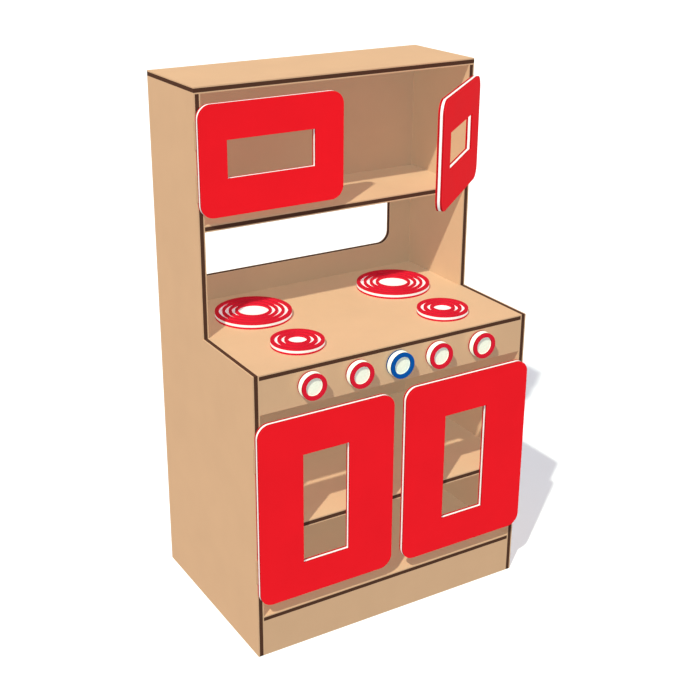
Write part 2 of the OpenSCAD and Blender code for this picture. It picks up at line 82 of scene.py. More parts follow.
# The sheet's depth runs along local Z. Each turn carries local Z to the board's own direction.
FLAT = (0.0, 0.0, 0.0)
UPRIGHT = (-math.pi / 2, 0.0, 0.0)
SIDEWAYS = (0.0, math.pi / 2, 0.0)

# Places of the fasteners, as in the frame, in metres: along X from the cabinet's middle
BACK_SCREWS = (-0.2, 0.0, 0.2)
CONTROL_PANEL_SCREWS = (-0.14, 0.14)
KICK_BOARD_SCREWS = (-0.15, 0.15)
# Pockets, as shares of a shelf's depth. The screw in one leans by some degrees, crosses the joint
# at a share of the board's thickness, and has its head this far before the joint.
POCKETS = (0.3, 0.7)
POCKET_LEAN = 15
POCKET_CROSSING = 0.6
POCKET_SEAT = 0.014
# Along X from a burner's middle, and up and down from a hinge's middle
BURNER_SCREWS = (-0.013, 0.013)
LEAF_SCREWS = (-0.015, 0.015)
# Out from a hinge's pin to the screws in the door's leaf and in the frame's leaf, and from the
# plane between the two leaves to the face of each
DOOR_LEAF_OUT = 0.013
FRAME_LEAF_OUT = 0.0072
LEAF_FACE = 0.0002

# Sizes of the patterns in the materials, in metres: the bends in the line where two layers meet
# and how far it strays in all, half the width over which a layer goes into the next, the clouds
# of pigment in a skin, the specks in a core, a powder coat's orange peel and nylon's clouds
LAYER_WAVE = 0.030
LAYER_WANDER = 0.0004
LAYER_BLUR = 0.0001
SKIN_CLOUD = 0.090
CORE_SPECK = 0.004
ORANGE_PEEL = 0.0012
NYLON_CLOUD = 0.003

# The material that the screws, bolts and washers share
STEEL = "Stainless steel, brushed"


# ---------- Sizes and colours ----------

class StoveSizes(bpy.types.PropertyGroup):
    """Sizes of the finish, in metres"""

    skin: bpy.props.FloatProperty(
        name="Tan skin", description="Thickness of each tan skin of the cabinet's sheet",
        default=0.0025, unit="LENGTH")
    accent_skin: bpy.props.FloatProperty(
        name="Red skin", description="Thickness of each red or blue skin",
        default=0.0040, unit="LENGTH")
    ease: bpy.props.FloatProperty(
        name="Eased edge", description="Radius sanded on every edge of the sheets",
        default=0.0007, unit="LENGTH")
    # Painted shade: the doors' and knobs' skins are drawn darker on their cut edges by this gain
    door_edge_painted_shade: bpy.props.FloatProperty(
        name="Door cut", description="Brightness of the doors' and knobs' skins where cut",
        default=0.5)
    # Painted light: the burners' skins are drawn lighter on their milled edges and groove walls by
    # this gain
    burner_edge_painted_light: bpy.props.FloatProperty(
        name="Burner cut", description="Brightness of the burners' skins where milled",
        default=1.15)
    grain: bpy.props.FloatProperty(
        name="Grain", description="Spacing of the pebbled grain, drawn coarser than the real 1 mm",
        default=0.0026, unit="LENGTH")
    tool_mark: bpy.props.FloatProperty(
        name="Tool mark", description="Spacing of the cutter's marks on a machined edge",
        default=0.0022, unit="LENGTH")
    door_corner: bpy.props.FloatProperty(
        name="Door corner", description="Corner radius of all doors",
        default=0.026, unit="LENGTH")
    lower_window: bpy.props.FloatVectorProperty(
        name="Lower window", description="Width, height and rise of the lower doors' windows",
        size=3, default=(0.100, 0.229, -0.0039), unit="LENGTH")
    upper_window: bpy.props.FloatVectorProperty(
        name="Upper window", description="Width, height and rise of the upper doors' windows",
        size=3, default=(0.183, 0.071, 0.0015), unit="LENGTH")
    window_shift: bpy.props.FloatProperty(
        name="Window shift", description="Offset of the windows to the left of a door's middle",
        default=0.003, unit="LENGTH")
    hinge_length: bpy.props.FloatProperty(
        name="Hinge", description="Length of each hinge's barrel",
        default=0.050, unit="LENGTH")
    hinge_notch: bpy.props.FloatProperty(
        name="Hinge notch", description="Radius of the notch that clears a hinge's barrel",
        default=0.0027, unit="LENGTH")
    hinge_hole: bpy.props.FloatVectorProperty(
        name="Hinge screw hole", description="Radius and reach of the holes for the leaf screws",
        size=2, default=(0.00135, 0.0107), unit="LENGTH")
    large_rings: bpy.props.FloatVectorProperty(
        name="Large burner", description="Centre radius, ring width and groove width",
        size=3, default=(0.0304, 0.0059, 0.0068), unit="LENGTH")
    small_rings: bpy.props.FloatVectorProperty(
        name="Small burner", description="Centre radius, ring width and groove width",
        size=3, default=(0.0179, 0.0069, 0.0060), unit="LENGTH")
    groove: bpy.props.FloatProperty(
        name="Groove", description="Depth of the burners' grooves, just through the top skin",
        default=0.0046, unit="LENGTH")
    burner_hole: bpy.props.FloatVectorProperty(
        name="Burner screw hole", description="Radius and depth of the holes under a burner",
        size=2, default=(0.00205, 0.0058), unit="LENGTH")
    knob_recess: bpy.props.FloatVectorProperty(
        name="Knob recess", description="Radius and depth of the recess in a knob's face",
        size=2, default=(0.0177, 0.0046), unit="LENGTH")
    insert: bpy.props.FloatVectorProperty(
        name="Insert bore", description="Radius and depth of the bore for a knob's insert",
        size=2, default=(0.00455, 0.011), unit="LENGTH")
    screw: bpy.props.FloatVectorProperty(
        name="Pan-head screw", description="Radius of the shank, radius and height of the head",
        size=3, default=(0.0020, 0.0032, 0.0022), unit="LENGTH")
    hinge_screw: bpy.props.FloatVectorProperty(
        name="Hinge screw", description="Radius of the shank, radius and depth of the head",
        size=3, default=(0.0013, 0.0025, 0.0012), unit="LENGTH")
    bolt: bpy.props.FloatVectorProperty(
        name="Knob bolt", description="Radius of the shank, radius and height of the head",
        size=3, default=(0.0030, 0.0055, 0.0035), unit="LENGTH")
    socket: bpy.props.FloatVectorProperty(
        name="Hexagon socket", description="Radius and depth of the socket in a knob bolt's head",
        size=2, default=(0.0026, 0.0020), unit="LENGTH")


class StoveColours(bpy.types.PropertyGroup):
    """Colours of the sheets, metals, nylon and floor, as sRGB hex values"""

    tan: bpy.props.StringProperty(name="Tan skin", description="Cabinet's skins", default="#cba380")
    brown: bpy.props.StringProperty(name="Brown core", description="Cabinet's core",
                                    default="#4d3226")
    red: bpy.props.StringProperty(name="Door red", description="Skin of the doors",
                                  default="#eb1924")
    # Painted shade: the burners' red is darker than the doors' and knobs', so that their tops,
    # which take more of the key light, render about as light as the upright red faces
    burner_red_painted_shade: bpy.props.StringProperty(name="Burner red", description="Skin of the burners",
                                         default="#bd1629")
    knob_red: bpy.props.StringProperty(name="Knob red", description="Skin of four knobs",
                                       default="#d81b31")
    blue: bpy.props.StringProperty(name="Blue skin", description="Middle knob", default="#004f9e")
    white: bpy.props.StringProperty(name="White core", description="Core of doors and burners",
                                    default="#e9e2de")
    knob_white: bpy.props.StringProperty(name="Knob core", description="Core of the knobs",
                                         default="#f7f5e0")
    steel: bpy.props.StringProperty(name="Steel", description="Screws, bolts and washers",
                                    default="#c9ccd0")
    coat: bpy.props.StringProperty(name="Hinge coat", description="Powder coat of the hinges",
                                   default="#b8906e")
    brass: bpy.props.StringProperty(name="Brass", description="Knob inserts", default="#b9975b")
    nylon: bpy.props.StringProperty(name="Nylon", description="Dowels and spacers",
                                    default="#efece0")
    floor: bpy.props.StringProperty(name="Floor", description="Studio floor", default="#f4f4f4")


def sizes():
    return bpy.context.scene.stove_sizes


def colours():
    return bpy.context.scene.stove_colours


def linear(hex_colour, gain=1.0):
    """An sRGB hex colour as a linear colour, lighter or darker by gain."""
    parts = [int(hex_colour[i:i + 2], 16) / 255 for i in (1, 3, 5)]
    parts = [c / 12.92 if c <= 0.04045 else ((c + 0.055) / 1.055) ** 2.4 for c in parts]
    return tuple(min(1.0, c * gain) for c in parts) + (1.0,)


# ---------- Materials ----------

def add(tree, kind, sockets=None, **settings):
    """Adds a node, sets its settings, and sets or links its sockets by name or number."""
    node = tree.nodes.new(kind)
    for key, value in settings.items():
        setattr(node, key, value)
    for key, value in (sockets or {}).items():
        if isinstance(value, bpy.types.NodeSocket):
            tree.links.new(value, node.inputs[key])
        else:
            node.inputs[key].default_value = value
    return node


def new_material(name):
    """A named material with an empty node tree, its shader and its output."""
    material = bpy.data.materials.new(name)
    material.use_nodes = True
    tree = material.node_tree
    tree.nodes.clear()
    shader = add(tree, "ShaderNodeBsdfPrincipled")
    add(tree, "ShaderNodeOutputMaterial", {"Surface": shader.outputs["BSDF"]})
    return material, tree, shader


def sheet_material(name, skin_hex, core_hex, thickness, layer, base, turn, cut=1.0):
    """Three-layer polyethylene sheet, pressed between grained rollers and cut with a router.

    The faces are a soft, slightly waxy plastic with a fine pebbled grain. Every cut edge shows
    the core between the two skins, each a layer thick, with faint lines across it where the
    cutter passed. There the skins are darker or lighter than on their faces by a gain: painted
    shade where it is below 1, painted light where it is above."""
    material, tree, shader = new_material(name)
    s = sizes()
    coords = add(tree, "ShaderNodeTexCoord").outputs["Object"]
    local = add(tree, "ShaderNodeMapping", {"Vector": coords, "Location": base, "Rotation": turn},
                vector_type="TEXTURE").outputs["Vector"]
    depth = add(tree, "ShaderNodeSeparateXYZ", {0: local}).outputs["Z"]

    # The layers meet in a line that wanders by a tenth of a millimetre to either side
    wander = add(tree, "ShaderNodeTexNoise", {"Vector": local, "Scale": 1 / LAYER_WAVE,
                                              "Detail": 1.0})
    wander = add(tree, "ShaderNodeMath", {0: wander.outputs["Fac"], 1: LAYER_WANDER,
                                          2: -LAYER_WANDER / 2}, operation="MULTIPLY_ADD")
    centred = add(tree, "ShaderNodeMath", {0: depth, 1: thickness / 2}, operation="SUBTRACT")
    strayed = add(tree, "ShaderNodeMath", {0: centred.outputs[0], 1: wander.outputs[0]})
    away = add(tree, "ShaderNodeMath", {0: strayed.outputs[0]}, operation="ABSOLUTE")
    half_core = thickness / 2 - layer
    in_skin = add(tree, "ShaderNodeMapRange",
                  {"Value": away.outputs[0], "From Min": half_core - LAYER_BLUR,
                   "From Max": half_core + LAYER_BLUR}, interpolation_type="SMOOTHSTEP").outputs[0]
    # The eased edge lies between the face and the cut
    away = add(tree, "ShaderNodeMath", {0: centred.outputs[0]}, operation="ABSOLUTE")
    on_face = add(tree, "ShaderNodeMapRange",
                  {"Value": away.outputs[0], "From Min": thickness / 2 - s.ease,
                   "From Max": thickness / 2 - 0.00005}).outputs[0]

    # Pigment lies in faint clouds, and the face has picked up a few pale rub marks
    clouds = add(tree, "ShaderNodeTexNoise", {"Vector": coords, "Scale": 1 / SKIN_CLOUD,
                                              "Detail": 3.0, "Roughness": 0.55}).outputs["Fac"]
    skin = add(tree, "ShaderNodeMix",
               {0: clouds, 6: linear(skin_hex, 0.94), 7: linear(skin_hex, 1.05)},
               data_type="RGBA").outputs[2]
    # A rub mark is about 110 mm long and 14 mm wide
    streak_coords = add(tree, "ShaderNodeMapping",
                        {"Vector": local, "Rotation": (0.0, 0.0, 0.6), "Scale": (9.0, 70.0, 20.0)})
    streaks = add(tree, "ShaderNodeTexNoise", {"Vector": streak_coords.outputs[0], "Scale": 1.0,
                                               "Detail": 5.0, "Roughness": 0.7}).outputs["Fac"]
    streaks = add(tree, "ShaderNodeMapRange", {"Value": streaks, "From Min": 0.68,
                                               "From Max": 0.80, "To Max": 0.16}).outputs[0]
    skin = add(tree, "ShaderNodeMix", {0: streaks, 6: skin, 7: linear(skin_hex, 1.25)},
               data_type="RGBA").outputs[2]
    specks = add(tree, "ShaderNodeTexNoise", {"Vector": coords, "Scale": 1 / CORE_SPECK,
                                              "Detail": 2.0}).outputs["Fac"]
    core = add(tree, "ShaderNodeMix",
               {0: specks, 6: linear(core_hex, 0.88), 7: linear(core_hex, 1.1)},
               data_type="RGBA").outputs[2]
    # Where a skin shows on a cut edge it is multiplied by the gain: painted shade below 1, painted
    # light above 1
    skin = add(tree, "ShaderNodeMix", {0: on_face, 6: linear(skin_hex, cut), 7: skin},
               data_type="RGBA").outputs[2]
    colour = add(tree, "ShaderNodeMix", {0: in_skin, 6: core, 7: skin}, data_type="RGBA")

    # Pebbled grain on the faces
    pebbles = add(tree, "ShaderNodeTexVoronoi", {"Vector": coords, "Scale": 1 / s.grain},
                  feature="SMOOTH_F1").outputs["Distance"]
    # Cutter marks run through the sheet's depth, so they vary only along its outline
    outline = add(tree, "ShaderNodeMapping", {"Vector": local, "Scale": (1.0, 1.0, 0.03)})
    marks = add(tree, "ShaderNodeTexNoise", {"Vector": outline.outputs[0],
                                             "Scale": 1 / s.tool_mark, "Detail": 1.0})
    relief = add(tree, "ShaderNodeMix", {0: on_face, 2: marks.outputs["Fac"], 3: pebbles})
    bump = add(tree, "ShaderNodeBump", {"Strength": 0.22, "Distance": 0.0004,
                                        "Height": relief.outputs[0]})
    sheen = add(tree, "ShaderNodeMapRange", {"Value": clouds, "To Min": 0.50, "To Max": 0.60})
    rough = add(tree, "ShaderNodeMix", {0: on_face, 2: 0.66, 3: sheen.outputs[0]})
    tree.links.new(colour.outputs[2], shader.inputs["Base Color"])
    tree.links.new(rough.outputs[0], shader.inputs["Roughness"])
    tree.links.new(bump.outputs[0], shader.inputs["Normal"])
    shader.inputs["IOR"].default_value = 1.52
    shader.inputs["Specular IOR Level"].default_value = 0.05
    return material


def metal_material(name, hex_colour, roughness):
    """Rolled or turned metal, brushed lightly in one direction."""
    material, tree, shader = new_material(name)
    coords = add(tree, "ShaderNodeTexCoord").outputs["Object"]
    # Lines 0.3 mm wide and 7 mm long, coarser than real ones, which would be too fine to show
    drawn = add(tree, "ShaderNodeMapping", {"Vector": coords, "Scale": (3000.0, 3000.0, 150.0)})
    lines = add(tree, "ShaderNodeTexNoise", {"Vector": drawn.outputs[0], "Scale": 1.0,
                                             "Detail": 3.0}).outputs["Fac"]
    tone = add(tree, "ShaderNodeMix",
               {0: lines, 6: linear(hex_colour, 0.82), 7: linear(hex_colour, 1.05)},
               data_type="RGBA").outputs[2]
    rough = add(tree, "ShaderNodeMapRange", {"Value": lines, "To Min": roughness - 0.06,
                                             "To Max": roughness + 0.08}).outputs[0]
    bump = add(tree, "ShaderNodeBump", {"Strength": 0.15, "Distance": 0.0001, "Height": lines})
    tree.links.new(tone, shader.inputs["Base Color"])
    tree.links.new(rough, shader.inputs["Roughness"])
    tree.links.new(bump.outputs[0], shader.inputs["Normal"])
    shader.inputs["Metallic"].default_value = 1.0
    return material


def coated_material(name, hex_colour):
    """Steel with a baked powder coat, which has a fine orange peel."""
    material, tree, shader = new_material(name)
    coords = add(tree, "ShaderNodeTexCoord").outputs["Object"]
    peel = add(tree, "ShaderNodeTexNoise", {"Vector": coords, "Scale": 1 / ORANGE_PEEL,
                                            "Detail": 2.0}).outputs["Fac"]
    tone = add(tree, "ShaderNodeMix",
               {0: peel, 6: linear(hex_colour, 0.92), 7: linear(hex_colour, 1.05)},
               data_type="RGBA").outputs[2]
    rough = add(tree, "ShaderNodeMapRange", {"Value": peel, "To Min": 0.42, "To Max": 0.55})
    bump = add(tree, "ShaderNodeBump", {"Strength": 0.2, "Distance": 0.0001, "Height": peel})
    tree.links.new(tone, shader.inputs["Base Color"])
    tree.links.new(rough.outputs[0], shader.inputs["Roughness"])
    tree.links.new(bump.outputs[0], shader.inputs["Normal"])
    shader.inputs["Specular IOR Level"].default_value = 0.3
    return material


def nylon_material(name):
    """Natural nylon, turned, with a dull waxy surface."""
    material, tree, shader = new_material(name)
    coords = add(tree, "ShaderNodeTexCoord").outputs["Object"]
    clouds = add(tree, "ShaderNodeTexNoise", {"Vector": coords, "Scale": 1 / NYLON_CLOUD,
                                              "Detail": 3.0}).outputs["Fac"]
    tone = add(tree, "ShaderNodeMix",
               {0: clouds, 6: linear(colours().nylon, 0.9), 7: linear(colours().nylon, 1.03)},
               data_type="RGBA").outputs[2]
    bump = add(tree, "ShaderNodeBump", {"Strength": 0.1, "Distance": 0.0001, "Height": clouds})
    rough = add(tree, "ShaderNodeMapRange", {"Value": clouds, "To Min": 0.45, "To Max": 0.6})
    tree.links.new(tone, shader.inputs["Base Color"])
    tree.links.new(rough.outputs[0], shader.inputs["Roughness"])
    tree.links.new(bump.outputs[0], shader.inputs["Normal"])
    return material


# ---------- Finishing ----------

def dress(piece, material):
    """Gives a piece one material in place of all it had."""
    piece.data.materials.clear()
    piece.data.materials.append(material)


def round_edges(piece, radius, segments):
    """Adds a modifier that rounds every edge sharper than 40 degrees."""
    bevel = piece.modifiers.new("Eased edges", "BEVEL")
    bevel.width = radius
    bevel.segments = segments
    bevel.limit_method = "ANGLE"
    bevel.angle_limit = math.radians(40)
    return bevel


def ease_edges(piece, radius):
    """Joins a frame piece's loose triangles, then sands its edges to a small radius."""
    weld = piece.modifiers.new("Joined faces", "WELD")
    weld.merge_threshold = 0.00001
    round_edges(piece, radius, 2).harden_normals = True
    normals = piece.modifiers.new("Even faces", "WEIGHTED_NORMAL")
    normals.keep_sharp = True


# ---------- Modelling ----------

def only(piece):
    """Makes one object the selected and active one."""
    bpy.ops.object.select_all(action="DESELECT")
    piece.select_set(True)
    bpy.context.view_layer.objects.active = piece


def pick(piece, faces=None, edges=None):
    """In edit mode, selects only the faces or the edges that pass a test of their middle and
    their normal or direction."""
    bpy.context.tool_settings.mesh_select_mode = (False, faces is None, faces is not None)
    bpy.ops.mesh.select_all(action="DESELECT")
    mesh = bmesh.from_edit_mesh(piece.data)
    for face in mesh.faces if faces else ():
        face.select_set(faces(face.calc_center_median(), face.normal))
    for edge in mesh.edges if edges else ():
        a, b = (v.co for v in edge.verts)
        edge.select_set(edges((a + b) / 2, (b - a).normalized()))
    bmesh.update_edit_mesh(piece.data)


def step_in(inwards, rise):
    """Insets the selected cap, then raises or lowers what is left of it."""
    bpy.ops.mesh.inset(thickness=inwards, depth=0)
    bpy.ops.mesh.extrude_region_move(TRANSFORM_OT_translate={"value": (0, 0, rise)})


def bar(name, radius, z0, z1, sides):
    """A round bar along Z."""
    bpy.ops.object.select_all(action="DESELECT")
    bpy.ops.mesh.primitive_cylinder_add(vertices=sides, radius=radius, depth=z1 - z0,
                                        location=(0, 0, (z0 + z1) / 2))
    piece = bpy.context.object
    piece.name = piece.data.name = name
    settle(piece)
    return piece


def turned(name, outline, sides=32):
    """A piece turned about Z. Its outline is a radius and a height for each step upwards."""
    radius, z = outline[0]
    bpy.ops.object.select_all(action="DESELECT")
    bpy.ops.mesh.primitive_circle_add(vertices=sides, radius=radius, fill_type="NGON",
                                      location=(0, 0, z))
    piece = bpy.context.object
    piece.name = piece.data.name = name
    settle(piece)
    bpy.ops.object.mode_set(mode="EDIT")
    bpy.ops.mesh.select_all(action="SELECT")
    for next_radius, next_z in outline[1:]:
        bpy.ops.mesh.extrude_region_move(TRANSFORM_OT_translate={"value": (0, 0, next_z - z)})
        scale = next_radius / radius
        bpy.ops.transform.resize(value=(scale, scale, 1), center_override=(0, 0, 0))
        radius, z = next_radius, next_z
    bpy.ops.mesh.select_all(action="SELECT")
    bpy.ops.mesh.normals_make_consistent(inside=False)
    bpy.ops.object.mode_set(mode="OBJECT")
    return piece


def block(name, lowest, highest):
    """A block between two corners."""
    bpy.ops.object.select_all(action="DESELECT")
    lowest, highest = Vector(lowest), Vector(highest)
    bpy.ops.mesh.primitive_cube_add(size=1, location=(lowest + highest) / 2)
    piece = bpy.context.object
    piece.name = piece.data.name = name
    piece.scale = highest - lowest
    settle(piece)
    return piece


def at(x, y, z):
    """A place, as a matrix."""
    return Matrix.Translation((x, y, z))


def rotation(degrees, axis):
    """A turn about an axis, as a matrix."""
    return Matrix.Rotation(math.radians(degrees), 4, axis)


def settle(piece, place=None):
    """Puts an object's turn, size and place into its mesh."""
    if place is not None:
        piece.matrix_world = place
    only(piece)
    bpy.ops.object.transform_apply(location=True, rotation=True, scale=True)


def cut_out(piece, cutters):
    """Takes each cutter's shape out of a piece."""
    for cutter in cutters:
        only(piece)
        cut = piece.modifiers.new("Cut", "BOOLEAN")
        cut.operation = "DIFFERENCE"
        cut.solver = "EXACT"
        cut.object = cutter
        bpy.ops.object.modifier_apply(modifier=cut.name)
        bpy.data.objects.remove(cutter)


def ease(piece, radius, segments=3):
    """Rounds a new piece's edges, and shades its flats flat."""
    only(piece)
    bpy.ops.object.modifier_apply(modifier=round_edges(piece, radius, segments).name)
    bpy.ops.object.shade_smooth_by_angle(angle=math.radians(35))
    normals = piece.modifiers.new("Flat faces", "WEIGHTED_NORMAL")
    normals.keep_sharp = True
    bpy.ops.object.modifier_apply(modifier=normals.name)


def copy_of(piece, name, place):
    """A copy with its own mesh, put at a place."""
    twin = piece.copy()
    twin.data = piece.data.copy()
    twin.name = twin.data.name = name
    bpy.context.scene.collection.objects.link(twin)
    settle(twin, place)
    return twin


def set_of(pattern, name, places):
    """Copies of one pattern piece at many places, as one object. The pattern goes."""
    twins = [copy_of(pattern, name, place) for place in places]
    bpy.data.objects.remove(pattern)
    bpy.ops.object.select_all(action="DESELECT")
    for twin in twins:
        twin.select_set(True)
    bpy.context.view_layer.objects.active = twins[0]
    if len(twins) > 1:
        bpy.ops.object.join()
    twins[0].name = twins[0].data.name = name
    return twins[0]


def hung(door):
    """A door's pin, how far it is stored open, and the side it hangs on, which is -1 or 1."""
    joint = JOINTS[f"{door}_door_hinge"]
    opened = math.radians(-joint["range_deg"][0] * joint["axis"][2])
    return Vector(joint["pos_m"]), opened, -1 if door.endswith("left") else 1


def hinge_heights(door):
    """Heights of the middles of a door's two hinges."""
    leaf, half = f"hinge_leaf_{door}", sizes().hinge_length / 2
    return low(leaf).z + half, high(leaf).z - half


def hand_over(piece, node, body):
    """Lets a new piece stand for a node and move with its body."""
    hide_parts(node)
    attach(piece, body)


# ---------- Operators ----------

class STOVE_OT_boards(bpy.types.Operator):
    """Finish the cabinet's boards"""

    bl_idname = "stove.boards"
    bl_label = "Cabinet boards"

    def execute(self, context):
        c = colours()
        plan = [(n, SIDEWAYS, (low(n).x, 0, 0)) for n in SIDES]
        plan += [(n, FLAT, (0, 0, low(n).z)) for n in FLAT_BOARDS]
        plan += [(n, UPRIGHT, (0, low(n).y, 0)) for n in UPRIGHT_BOARDS]
        for name, turn, base in plan:
            board = frame["nodes"][name]
            dress(board, sheet_material(f"Tan polyethylene sheet, {name}", c.tan, c.brown,
                                        BOARD, sizes().skin, base, turn))
            ease_edges(board, sizes().ease)
        return {"FINISHED"}


class STOVE_OT_doors(bpy.types.Operator):
    """Make the cupboard doors, with their windows and hinge notches"""

    bl_idname = "stove.doors"
    bl_label = "Doors"

    def execute(self, context):
        c, s = colours(), sizes()
        notch_reach = s.hinge_length / 2 + 0.0003
        for name in DOORS:
            level = name.split("_")[0]
            # The left door of each pair is shut, so its box gives the sizes of both
            lowest, highest = low(f"door_{level}_left"), high(f"door_{level}_left")
            width, back = highest.x - lowest.x, highest.y - hung(f"{level}_left")[0].y
            pin, opened, sign = hung(name)
            window = s.lower_window if level == "lower" else s.upper_window

            door = self.blank(f"{name}_door_sheet", width, lowest.z, highest.z, back, sign)
            middle = Vector((-sign * width / 2 - s.window_shift, back - BOARD / 2,
                             (lowest.z + highest.z) / 2 + window[2]))
            half = Vector((window[0] / 2, BOARD, window[1] / 2))
            cutters = [block("Window cutter", middle - half, middle + half)]
            for z in hinge_heights(name):
                cutters.append(bar("Notch cutter", s.hinge_notch, z - notch_reach,
                                   z + notch_reach, 32))
                for rise in LEAF_SCREWS:
                    hole = bar("Hole cutter", s.hinge_hole[0], 0.0, s.hinge_hole[1], 16)
                    settle(hole, at(-sign * DOOR_LEAF_OUT, 0, z + rise) @ rotation(90, "X"))
                    cutters.append(hole)
            cut_out(door, cutters)
            ease(door, s.ease)
            settle(door, at(pin.x, pin.y, 0) @ Matrix.Rotation(opened, 4, "Z"))
            # The key light runs along the open door, whose sliver of a shadow on the counter
            # the photograph doesn't show
            door.visible_shadow = not opened

            # Its layers are counted from its front face, which has turned with it
            front = Matrix.Rotation(opened, 3, "Z") @ Vector((0, back - BOARD, 0))
            # Its skins are drawn darker on the cut edges, as painted shade
            dress(door, sheet_material(f"Red polyethylene sheet, {name} door", c.red, c.white,
                                       BOARD, s.accent_skin,
                                       (pin.x + front.x, pin.y + front.y, 0),
                                       (UPRIGHT[0], 0, opened), s.door_edge_painted_shade))
            hand_over(door, f"door_{name}", f"{name}_door")
        return {"FINISHED"}

    def blank(self, name, width, bottom, top, back, sign):
        """A door's outline with its four rounded corners, hung on a pin at X = 0, Y = 0."""
        xs = sorted((0, -sign * width))
        door = block(name, (xs[0], back - BOARD, bottom), (xs[1], back, top))
        bpy.ops.object.mode_set(mode="EDIT")
        pick(door, edges=lambda middle, way: abs(way.y) > 0.9)
        bpy.ops.mesh.bevel(offset=sizes().door_corner, segments=20, affect="EDGES")
        bpy.ops.object.mode_set(mode="OBJECT")
        return door


class STOVE_OT_burners(bpy.types.Operator):
    """Make the burners, with their raised rings and recessed centres"""

    bl_idname = "stove.burners"
    bl_label = "Burners"

    def execute(self, context):
        c, s = colours(), sizes()
        # The burners' skins are drawn lighter on their milled edges and groove walls, as painted
        # light
        made = sheet_material("Red polyethylene sheet, burners", c.burner_red_painted_shade, c.white, BOARD,
                              s.accent_skin, (0, 0, COUNTER), FLAT, s.burner_edge_painted_light)
        for name in BURNERS:
            lowest, highest = low(name), high(name)
            radius = (highest.y - lowest.y) / 2
            burner = bar(f"{name}_disc", radius, lowest.z, highest.z, 192)
            rings = s.large_rings if "rear" in name else s.small_rings
            self.cut_rings(burner, radius, rings, s.groove)
            self.drill(burner)
            ease(burner, s.ease)
            middle = (lowest + highest) / 2
            settle(burner, at(middle.x, middle.y, 0))
            dress(burner, made)
            hand_over(burner, name, "cabinet")
        return {"FINISHED"}

    def cut_rings(self, burner, radius, rings, depth):
        """Cuts the grooves from the outside inwards, then the centre."""
        centre, ring, groove = rings
        top = max(v.co.z for v in burner.data.vertices)
        count = int((radius - centre - ring) / (ring + groove))
        rims = [centre]
        for k in range(count):
            start = centre + ring + k * (ring + groove)
            rims += [start, start + groove]
        rims.append(radius)
        only(burner)
        bpy.ops.object.mode_set(mode="EDIT")
        pick(burner, faces=lambda middle, normal: normal.z > 0.9 and middle.z > top - 0.0001)
        for k in range(len(rims) - 1, 0, -1):
            down = (len(rims) - 1 - k) % 2 == 0
            step_in(rims[k] - rims[k - 1], -depth if down else depth)
        bpy.ops.object.mode_set(mode="OBJECT")

    def drill(self, burner):
        """Makes the holes for the two screws that come up from below."""
        bottom = min(v.co.z for v in burner.data.vertices)
        radius, depth = sizes().burner_hole
        holes = []
        for x in BURNER_SCREWS:
            hole = bar("Hole cutter", radius, bottom - 0.001, bottom + depth, 24)
            settle(hole, at(x, 0, 0))
            holes.append(hole)
        cut_out(burner, holes)


class STOVE_OT_knobs(bpy.types.Operator):
    """Make the knobs, with the recess in their faces and the bore for their inserts"""

    bl_idname = "stove.knobs"
    bl_label = "Knobs"

    def execute(self, context):
        c, s = colours(), sizes()
        lowest, highest = low("knob_middle"), high("knob_middle")
        base = (0, lowest.y, 0)
        # Both knob sheets are drawn darker on the cut edges of their skins, as painted shade
        red = sheet_material("Red polyethylene sheet, knobs", c.knob_red, c.knob_white,
                             KNOB_THICK, s.accent_skin, base, UPRIGHT, s.door_edge_painted_shade)
        blue = sheet_material("Blue polyethylene sheet, middle knob", c.blue, c.knob_white,
                              KNOB_THICK, s.accent_skin, base, UPRIGHT, s.door_edge_painted_shade)
        # Turned about Z with its face up, then stood with its face to the front
        radius = (highest.z - lowest.z) / 2
        pattern = bar("Knob pattern", radius, 0, KNOB_THICK, 128)
        bpy.ops.object.mode_set(mode="EDIT")
        pick(pattern, faces=lambda middle, normal: normal.z > 0.9)
        step_in(radius - s.knob_recess[0], -s.knob_recess[1])
        pick(pattern, faces=lambda middle, normal: normal.z < -0.9)
        step_in(radius - s.insert[0], s.insert[1])
        bpy.ops.object.mode_set(mode="OBJECT")
        ease(pattern, s.ease)
        for name in KNOBS:
            box_low, box_high = low(f"knob_{name}"), high(f"knob_{name}")
            middle = (box_low + box_high) / 2
            knob = copy_of(pattern, f"{name}_knob_disc",
                           at(middle.x, box_high.y, middle.z) @ rotation(90, "X"))
            dress(knob, blue if name == "middle" else red)
            hand_over(knob, f"knob_{name}", f"{name}_knob")
        bpy.data.objects.remove(pattern)
        return {"FINISHED"}


class STOVE_OT_hardware(bpy.types.Operator):
    """Finish the hinges, inserts, washers, spacers and dowels"""

    bl_idname = "stove.hardware"
    bl_label = "Hardware"

    def execute(self, context):
        c = colours()
        steel = metal_material(STEEL, c.steel, 0.32)
        coated = coated_material("Powder-coated steel, hinges", c.coat)
        brass = metal_material("Brass, turned", c.brass, 0.3)
        nylon = nylon_material("Nylon, turned")
        for name, node in frame["nodes"].items():
            if name.startswith("knob_insert"):
                dress(node, brass)
            elif name in ("dowels", "knob_spacers"):
                dress(node, nylon)
            elif name.startswith("hinge_leaf") or name in ("hinge_frame_leaves", "hinge_pins"):
                dress(node, coated)
            elif name == "knob_washers":
                dress(node, steel)
            else:
                continue
            if name != "dowels":
                ease_edges(node, radius=0.00015)
        return {"FINISHED"}


def cross_recess(screw, reach, depth, width):
    """Cuts a cross for the driver into the top of a screw's head."""
    top = max(v.co.z for v in screw.data.vertices)
    for half_x, half_y in ((reach, width / 2), (width / 2, reach)):
        cut_out(screw, [block("Recess cutter", (-half_x, -half_y, top - depth),
                              (half_x, half_y, top + 0.001))])


